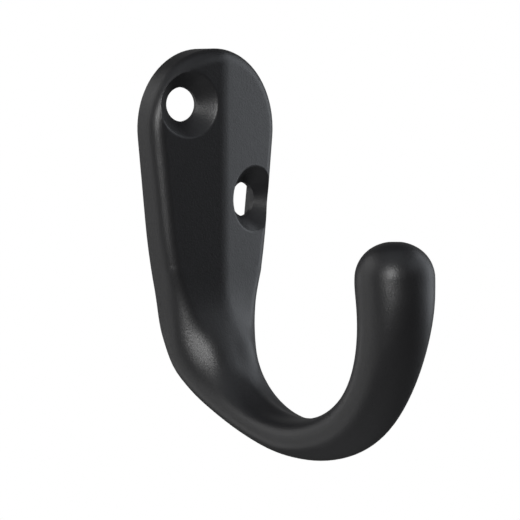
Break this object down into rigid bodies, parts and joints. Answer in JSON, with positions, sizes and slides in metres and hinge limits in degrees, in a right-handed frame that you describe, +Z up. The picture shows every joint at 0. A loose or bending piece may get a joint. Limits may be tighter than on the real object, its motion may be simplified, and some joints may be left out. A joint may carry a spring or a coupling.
{
  "type": "wall hook",
  "caption": "Wall hook cast in one piece: a teardrop back plate with a ridged front and countersunk screw holes, and a curved oval arm that ends in a round upright tip.",
  "frame": {"origin": "on the wall face, on the centre line, 4.4 mm above the heel where the arm's underside leaves the wall", "axes": "+Y into the wall, +Z up, +X to the viewer's right when facing the wall; the arm stands out towards -Y"},
  "size_m": [0.021, 0.0437, 0.0531],
  "materials": {
    "black_coating": "satin"
  },
  "bodies": {
    "root": {"hook_casting": "black_coating"}
  },
  "joints": []
}
